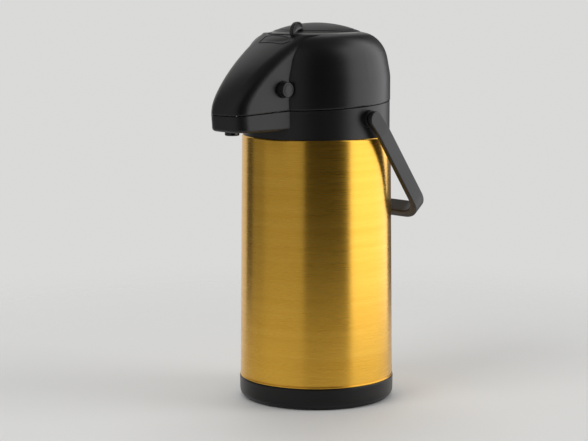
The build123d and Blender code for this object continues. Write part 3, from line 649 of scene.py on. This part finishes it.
# %% [markdown]
# ### Jacket
# Such a jacket is one sheet rolled into a cone and welded up the back. Here its radius narrows by 2.5 mm
# to the top, and its top edge is rolled inward under the collar. The photograph shows a thin bright line
# at its foot, which is taken for a fine groove over a bead. The section gives the taper, the roll and the
# bead. The weld is a guess, since the back isn't seen: a fine groove, where the turning angles crowd
# together and the points in it are drawn in a little.

# %% Jacket
jacket_taper = 2.5
jacket_wall = 0.8
jacket_roll = 1.6
jacket_lip = 4.6
bead_proud = 0.35
bead_top = 1.2
groove_depth = 0.38
groove_low = 1.45
groove_high = 1.95
weld_start = 2.2
weld_depth = 0.12 * mm
weld_half_width = 0.25 * mm
weld_shares = (-3, -1.5, -0.6, 0, 0.6, 1.5, 3)
weld_reach = 0.8

jacket_bottom_radius = jacket_high.x / mm
jacket_foot = jacket_low.z / mm
jacket_top = jacket_high.z / mm
jacket_top_radius = jacket_bottom_radius - jacket_taper
jacket_corners = [
    (jacket_bottom_radius + bead_proud, jacket_foot, 0.3),
    (jacket_bottom_radius + bead_proud, jacket_foot + bead_top, 0.6),
    (jacket_bottom_radius - groove_depth, jacket_foot + groove_low, 0.15),
    (jacket_bottom_radius - groove_depth, jacket_foot + groove_high, 0.1),
    (jacket_bottom_radius - 0.02, jacket_foot + 2.3, 0.2),
    (jacket_top_radius, jacket_top, jacket_roll),
    (jacket_top_radius - jacket_lip, jacket_top, 0.3),
    (jacket_top_radius - jacket_lip, jacket_top - jacket_wall, 0.3),
    (jacket_top_radius - jacket_wall, jacket_top - jacket_wall, jacket_roll - jacket_wall),
    (jacket_bottom_radius - jacket_wall, jacket_foot, 0.25),
]
weld_angle = pi / 2
weld_step = weld_half_width / jacket_high.x
weld_angles = [weld_angle + weld_step * share for share in weld_shares]
even_angles = [weld_angle + 2 * pi * step / full_turn for step in range(1, full_turn)]
jacket = turned("jacket_skin", rounded(jacket_corners), angles=weld_angles + even_angles)
middle_of_wall = (jacket_top_radius - jacket_wall / 2) * mm
for vertex in jacket.data.vertices:
    around_back = abs(atan2(vertex.co.x, vertex.co.y))
    outside = hypot(vertex.co.x, vertex.co.y) > middle_of_wall
    below_roll = vertex.co.z < (jacket_top - jacket_roll) * mm
    above_bead = vertex.co.z > (jacket_foot + weld_start) * mm
    if around_back < weld_step * weld_reach and outside and below_roll and above_bead:
        vertex.co.y -= weld_depth
show(jacket, "pot", "jacket_metal", brushed_gold, "jacket")
print("jacket faces:", len(jacket.data.polygons))

# %% [markdown]
# ### Base ring
# The base is a black moulded ring whose heel curves in to the foot. Its top edge has a small round that
# catches the light as a thin pale line under the gold. The shallow step below that, where a mould might
# part, is a guess, and so is everything on the inside.

# %% Base ring
base_radius = base_high.x / mm
jacket_gap = 0.3
base_top = jacket_foot - jacket_gap
spigot_gap = 0.4
spigot_wall = 2.4
spigot_radius = jacket_bottom_radius - jacket_wall - spigot_gap
spigot_top = base_high.z / mm
heel_setback = 7
foot_width = 6
foot_outer = base_radius - heel_setback
foot_inner = foot_outer - foot_width
parting_step = 0.12
web_bore = 46
web_top = 9
web_bottom = 6
base_corners = [
    (foot_outer - 0.5, 0, 0.4),
    (foot_outer + 3.6, 0.9, 4),
    (base_radius - 0.55, 5.2, 4),
    (base_radius - parting_step, 8.4, 1.2),
    (base_radius - parting_step, base_top - 3.1, 0.15),
    (base_radius, base_top - 2.9, 0.15),
    (base_radius, base_top, 1.1),
    (spigot_radius, base_top, 0),
    (spigot_radius, spigot_top, 0.5),
    (spigot_radius - spigot_wall, spigot_top, 0.5),
    (spigot_radius - spigot_wall, web_top, 1),
    (web_bore, web_top, 0.4),
    (web_bore, web_bottom, 0.4),
    (foot_inner, web_bottom, 1),
    (foot_inner, 0, 0.6),
]
base_skin = turned("base_skin", rounded(base_corners))
show(base_skin, "pot", "base_plastic", base_black, "base_ring")
print("base ring faces:", len(base_skin.data.polygons))

# %% [markdown]
# ### Press plate
# The plate is a shallow dome with a rounded rim. A band round the rim is painted a paler grey, a painted
# highlight that stands in for the bright line of light along it. The shallow ring round the area that the
# palm presses is a guess. Below are the skirt with the flange that stops it, and the stem that pushes the
# bellows, both out of sight.

# %% Press plate
plate_radius = 43.5
plate_rim = 363.4
plate_crown = 8.6
plate_sphere = (plate_radius**2 + plate_crown**2) / (2 * plate_crown)
plate_middle = plate_rim + plate_crown - plate_sphere
plate_wall = 2.4
stem_radius = 26
stem_bottom = 351.6
skirt_bottom = 335.5
flange_top = 337.5
flange_reach = 1.8
ring_inner = 36.8
ring_outer = 38.6
ring_slope = 0.4
ring_depth = 0.35
# size of the band at the rim that takes the painted highlight
painted_highlight_width = 1.3
painted_highlight_depth = 1.6


def plate_height(across, below=0.0):
    """The height of the plate's dome at a distance from the axis, or of its underside, a wall below."""
    return plate_middle + sqrt((plate_sphere - below) ** 2 - across**2)


dome_rows = [(across, plate_height(across), 0) for across in np.linspace(0, 36.2, 16)]
ring_rows = [
    (ring_inner, plate_height(ring_inner), 0.2),
    (ring_inner + ring_slope, plate_height(ring_inner + ring_slope) - ring_depth, 0.2),
    (ring_outer - ring_slope, plate_height(ring_outer - ring_slope) - ring_depth, 0.2),
    (ring_outer, plate_height(ring_outer), 0.2),
]
under_rows = [
    (across, plate_height(across, plate_wall), 0) for across in np.linspace(stem_radius - plate_wall, 0, 10)
]
plate_corners = dome_rows + ring_rows + [
    (40.6, plate_height(40.6), 0),
    (plate_radius, plate_rim - 0.05, 1.6),
    (plate_radius, flange_top, 0.2),
    (plate_radius + flange_reach, flange_top, 0.3),
    (plate_radius + flange_reach, skirt_bottom, 0.3),
    (plate_radius - plate_wall, skirt_bottom, 0.4),
    (plate_radius - plate_wall, plate_height(plate_radius - plate_wall, plate_wall), 1),
    (stem_radius, plate_height(stem_radius, plate_wall), 1),
    (stem_radius, stem_bottom, 0.4),
    (stem_radius - plate_wall, stem_bottom, 0.4),
] + under_rows
plate_skin = turned("press_plate_skin", rounded(plate_corners))
show(plate_skin, "plate", "plate_plastic", plate_black, "press_plate")
# The faces of a narrow band at the rim get the pale grey, a painted highlight.
plate_skin.data.materials.append(rim_painted_highlight)
for face in plate_skin.data.polygons:
    reach = hypot(face.center.x, face.center.y) / mm
    if reach > plate_radius - painted_highlight_width and face.center.z / mm > plate_rim - painted_highlight_depth:
        face.material_index = 1
print("plate top", round(max(v.co.z for v in plate_skin.data.vertices) / mm, 2), "mm")

# %% [markdown]
# ### Bellows
# The bellows under the plate are moulded rubber. Sharp pleats would look folded from card, so each fold
# is rounded.

# %% Bellows
bellows_low, bellows_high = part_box("bellows")
pleats = 6
pleat_outer = 37
pleat_inner = 30.4
rubber_wall = 1.6
crest_round = 1.1
valley_round = 1.0
lining_round = 0.6
seat_thickness = 2
seat_radius = pleat_outer - 0.1
lid_thickness = 2.4
pleat_start = bellows_low.z / mm + seat_thickness
pleat_end = 349
pleat_rise = (pleat_end - pleat_start) / pleats
folds = [(pleat_inner, pleat_start + 0.4, 0.3)]
for pleat in range(pleats):
    folds.append((pleat_outer, pleat_start + (pleat + 0.5) * pleat_rise, crest_round))
    folds.append((pleat_inner, pleat_start + (pleat + 1) * pleat_rise, valley_round))
lining = [(across - rubber_wall, up, rounding * lining_round) for across, up, rounding in reversed(folds)]
bellows_corners = [(seat_radius, bellows_low.z / mm, 0.3), (seat_radius, pleat_start, 0.3)]
bellows_corners += folds
bellows_corners += [
    (pleat_inner, bellows_high.z / mm, 0.5),
    (0, bellows_high.z / mm, 0),
    (0, bellows_high.z / mm - lid_thickness, 0),
]
bellows_corners += lining
bellows_corners += [(pleat_inner - rubber_wall, bellows_low.z / mm, 0.3)]
bellows = turned("bellows_skin", rounded(bellows_corners))
show(bellows, "lid", "bellows_rubber", dark_rubber, "bellows")
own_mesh(bellows)

# %% [markdown]
# ### Springs
# The plate's return spring and the two button springs are wound wire with closed ends: the last turn at
# each end lies almost flat. A helper runs a round section along such a path.

# %% Springs
wire_sides = 10
steps_per_turn = 28
end_turn_rise = 0.9


def spring(name, radius, wire, length, turns, frame_matrix):
    """A spring along its own Z from 0 to its length, with closed ends, placed by a matrix."""
    centres = []
    steps = turns * steps_per_turn
    closed = wire / 2
    end_rise = wire * end_turn_rise
    low = closed + end_rise
    for step in range(steps + 1):
        share = step / steps
        from_end = min(share, 1 - share) * turns
        if from_end >= 1:
            inner = (share * turns - 1) / (turns - 2)
            rise = low + (length - 2 * low) * inner
        elif share < 0.5:
            rise = closed + end_rise * from_end
        else:
            rise = length - closed - end_rise * from_end
        angle = 2 * pi * share * turns
        centres.append(Vector((radius * cos(angle), radius * sin(angle), rise)))
    shape = bmesh.new()
    rings = []
    for index, centre in enumerate(centres):
        along = centres[min(index + 1, steps)] - centres[max(index - 1, 0)]
        along.normalize()
        outward = Vector((centre.x, centre.y, 0)).normalized()
        up = along.cross(outward).normalized()
        ring = []
        for side in range(wire_sides):
            angle = 2 * pi * side / wire_sides
            ring.append(shape.verts.new(centre + (outward * cos(angle) + up * sin(angle)) * wire / 2))
        rings.append(ring)
    for ring, following in zip(rings, rings[1:]):
        for side in range(wire_sides):
            ahead = (side + 1) % wire_sides
            shape.faces.new((ring[side], ring[ahead], following[ahead], following[side]))
    shape.faces.new(rings[0])
    shape.faces.new(rings[-1])
    bmesh.ops.recalc_face_normals(shape, faces=shape.faces)
    mesh = bpy.data.meshes.new(name)
    shape.to_mesh(mesh)
    shape.free()
    mesh.transform(frame_matrix)
    smooth(mesh)
    return bpy.data.objects.new(name, mesh)


coil_low, coil_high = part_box("return_spring")
coil_length = coil_high.z - coil_low.z
coil_place = Matrix.Translation((0, 0, coil_low.z))
plate_coil = spring("return_spring_wire", 17 * mm, 1.6 * mm, coil_length, 7, coil_place)
show(plate_coil, "lid", "spring_steel", drawn_steel, "return_spring")
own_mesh(plate_coil)

hands = (("right", 1), ("left", -1))
for side, hand in hands:
    low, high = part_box(f"button_spring_{side}")
    length = high.x - low.x
    seat = low.x if hand > 0 else high.x
    middle = (low + high) / 2
    place = Matrix.Translation((seat, middle.y, middle.z)) @ Matrix.Rotation(hand * pi / 2, 4, "Y")
    coil = spring(f"button_spring_wire_{side}", 4.6 * mm, 0.9 * mm, length, 5, place)
    show(coil, "lid", "spring_steel", drawn_steel, f"button_spring_{side}")
    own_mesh(coil)
print("springs: 3")

# %% [markdown]
# ### Release buttons
# Each button is a round cap with a soft edge, a flange behind the wall and a stem. The slight dish in its
# face, for the fingertip, is a guess. It is turned about the X axis, once for each side.

# %% Release buttons
button_radius = 7.15
button_face = 37.4
button_flange_radius = 8.95
button_flange_outer = 25.4
button_flange_inner = 23.4
button_stem_radius = 2.6
button_stem_end = 9
button_corners = [
    (0, button_face - 0.75, 0),
    (2.6, button_face - 0.68, 1),
    (4.9, button_face - 0.34, 1),
    (5.7, button_face, 0.6),
    (button_radius, button_face, 1.4),
    (button_radius, button_flange_outer, 0.2),
    (button_flange_radius, button_flange_outer, 0.3),
    (button_flange_radius, button_flange_inner, 0.3),
    (button_stem_radius, button_flange_inner, 0.2),
    (button_stem_radius, button_stem_end, 0.5),
    (0, button_stem_end, 0),
]
for side, hand in hands:
    low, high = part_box(f"button_{side}")
    middle = (low + high) / 2
    outline = [Vector((across, up * hand)) for across, up in rounded(button_corners)]
    button = turned(f"button_cap_{side}", outline, axis="X", centre=(0, middle.y, middle.z))
    show(button, f"{side}_button", "button_plastic", button_black, f"button_{side}")
print("buttons: 2")

# %% [markdown]
# ### Lock lever
# The lever is a small paddle: a half ellipse that stands on the lid and is thumbed to the side. Both
# faces are hollowed, so the rim catches the light as it does in the photograph. The outline is drawn once
# and repeated smaller and smaller towards its middle, with the thickness changing from ring to ring. A
# neck and a shoe go down through the lid's slot.

# %% Lock lever
lever_low, lever_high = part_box("lock_lever")
lock_swing = 37
lever_turn = radians(lock_swing / 2 - 90)
lever_out = Vector((cos(lever_turn), sin(lever_turn), 0))
lever_side = Vector((-sin(lever_turn), cos(lever_turn), 0))
lever_up = Vector((0, 0, 1))
fin_start = 31.0
fin_clearance = 0.75
fin_inner = Vector((fin_start, plate_height(fin_start) + fin_clearance))
fin_outer = Vector((52.0, 362.0))
fin_height = 8.8
fin_foot_sag = 0.9
fin_rings = (
    (1.0, 0.0), (1.0, 0.7), (0.985, 1.35), (0.95, 1.95), (0.90, 2.3), (0.85, 2.4), (0.80, 2.3),
    (0.70, 2.05), (0.58, 1.85), (0.42, 1.72), (0.25, 1.66), (0.1, 1.65),
)
fin_steps = 40


def paddle_outline():
    """Points of a half ellipse from the inner end over the top to the outer end, and back along the foot."""
    along = fin_outer - fin_inner
    half = along.length / 2
    along.normalize()
    above = Vector((-along.y, along.x))
    middle = (fin_inner + fin_outer) / 2
    points = []
    for step in range(fin_steps + 1):
        angle = pi - pi * step / fin_steps
        points.append(middle + along * (half * cos(angle)) + above * (fin_height * sin(angle)))
    foot_steps = fin_steps // 2
    for step in range(1, foot_steps):
        share = step / foot_steps
        across = fin_outer.lerp(fin_inner, share)
        points.append(across + above * (sin(pi * share) * fin_foot_sag))
    return points


shape = bmesh.new()
outline = paddle_outline()
heart = sum(outline, Vector((0, 0))) / len(outline)
layers = []
for hand in (1, -1):
    for share, half_thickness in fin_rings:
        if hand < 0 and half_thickness == 0:
            continue
        ring = []
        for point in outline:
            flat = heart + (point - heart) * share
            place = lever_out * flat.x + lever_up * flat.y + lever_side * (half_thickness * hand)
            ring.append(shape.verts.new(place * mm))
        layers.append((hand, ring))
front = [ring for hand, ring in layers if hand > 0]
back = [front[0]] + [ring for hand, ring in layers if hand < 0]
for stack in (front, back):
    for ring, following in zip(stack, stack[1:]):
        for step in range(len(outline)):
            ahead = (step + 1) % len(outline)
            shape.faces.new((ring[step], ring[ahead], following[ahead], following[step]))
    shape.faces.new(stack[-1])


def lever_block(across_low, across_high, half_side, bottom, top, rounding):
    """A block in the lever's own directions with its upright edges rounded."""
    corners = [
        (across_low, -half_side, rounding),
        (across_high, -half_side, rounding),
        (across_high, half_side, rounding),
        (across_low, half_side, rounding),
    ]
    rings = []
    for height in (bottom, top):
        ring = []
        for across, side in rounded(corners):
            ring.append(shape.verts.new(lever_out * across + lever_side * side + lever_up * height * mm))
        rings.append(ring)
    for step in range(len(rings[0])):
        ahead = (step + 1) % len(rings[0])
        shape.faces.new((rings[0][step], rings[0][ahead], rings[1][ahead], rings[1][step]))
    shape.faces.new(rings[0])
    shape.faces.new(rings[1])


neck_inner = 47.9
neck_outer = 50.5
neck_top = 363.8
shoe_inner = 46.6
shoe_outer = 51.0
shoe_bottom = lever_low.z / mm
shoe_thickness = 1.8
lever_block(neck_inner, neck_outer, half_side=1.9, bottom=shoe_bottom, top=neck_top, rounding=0.5)
lever_block(
    shoe_inner, shoe_outer, half_side=4.5, bottom=shoe_bottom, top=shoe_bottom + shoe_thickness, rounding=0.8,
)
bmesh.ops.recalc_face_normals(shape, faces=shape.faces)
lever_mesh = bpy.data.meshes.new("lock_paddle")
shape.to_mesh(lever_mesh)
shape.free()
smooth(lever_mesh)
lever = bpy.data.objects.new("lock_paddle", lever_mesh)
show(lever, "lock", "lever_plastic", lever_black, "lock_lever")
paddle_top = max(v.co.z for v in lever_mesh.vertices)
print("paddle top", round(paddle_top / mm, 2), "mm, frame's", round(lever_high.z / mm, 2))

# %% [markdown]
# ### Arrow badge
# In front of the plate the lid carries a small badge. Here it is left without any words, as the raised
# outline of a bar with a pointed end. It follows the lid's skin, so each point of the outline is dropped
# straight down on to it and raised by a fraction of a millimetre.

# %% Arrow badge
badge_half_length = 19.5
badge_half_width = 5.2
badge_point = 5.5
badge_rise = 0.45
badge_shoulder = badge_rise * 0.7
badge_root = -0.15
badge_line = 0.8
badge_middle = (2.5, -56.8)
badge_drop_from = 0.42

lid_shape = bmesh.new()
lid_shape.from_mesh(nodes["lid_shell"].data)
lid_tree = BVHTree.FromBMesh(lid_shape)
lid_shape.free()


def on_lid(across, along):
    """The point of the lid's skin under a place, in metres, and its upward normal."""
    above = Vector((across * mm, along * mm, badge_drop_from))
    place, normal = lid_tree.ray_cast(above, Vector((0, 0, -1)))[:2]
    if normal.z < 0:
        normal = -normal
    return place, normal


def bar_with_point(half_length, half_width, point):
    """Corners of a bar whose end towards +X is pointed."""
    return [
        (-half_length, -half_width, 1.2),
        (half_length - point, -half_width, 1.0),
        (half_length, 0, 0.8),
        (half_length - point, half_width, 1.0),
        (-half_length, half_width, 1.2),
    ]


def refine(outline, longest=1.5 * mm):
    """The same outline with no step longer than a limit, so that it can follow a curved skin."""
    points = []
    for index, start in enumerate(outline):
        end = outline[(index + 1) % len(outline)]
        count = max(1, int((end - start).length / longest))
        points += [start.lerp(end, step / count) for step in range(count)]
    return points


print("badge helpers ready")

# %% Raise the badge
outer = refine(rounded(bar_with_point(badge_half_length, badge_half_width, badge_point)))
inner_share = Vector((
    (badge_half_length - badge_line) / badge_half_length,
    (badge_half_width - badge_line) / badge_half_width,
))
badge_section = (
    (0.0, badge_root),
    (0.0, badge_shoulder),
    (0.25, badge_rise),
    (0.75, badge_rise),
    (1.0, badge_shoulder),
    (1.0, badge_root),
)
shape = bmesh.new()
badge_rings = []
for share, rise in badge_section:
    ring = []
    for point in outer:
        across = point.x / mm * (1 + (inner_share.x - 1) * share)
        along = point.y / mm * (1 + (inner_share.y - 1) * share)
        place, normal = on_lid(badge_middle[0] + across, badge_middle[1] + along)
        ring.append(shape.verts.new(place + normal * rise * mm))
    badge_rings.append(ring)
for ring, following in zip(badge_rings, badge_rings[1:] + badge_rings[:1]):
    for step in range(len(outer)):
        ahead = (step + 1) % len(outer)
        shape.faces.new((ring[step], ring[ahead], following[ahead], following[step]))
bmesh.ops.recalc_face_normals(shape, faces=shape.faces)
badge_mesh = bpy.data.meshes.new("arrow_badge")
shape.to_mesh(badge_mesh)
shape.free()
smooth(badge_mesh)
badge = bpy.data.objects.new("arrow_badge", badge_mesh)
show(badge, "lid", "lid_plastic", lever_black)
print("badge from", [round(v / mm, 1) for v in min((v.co for v in badge_mesh.vertices), key=lambda c: c.x)])
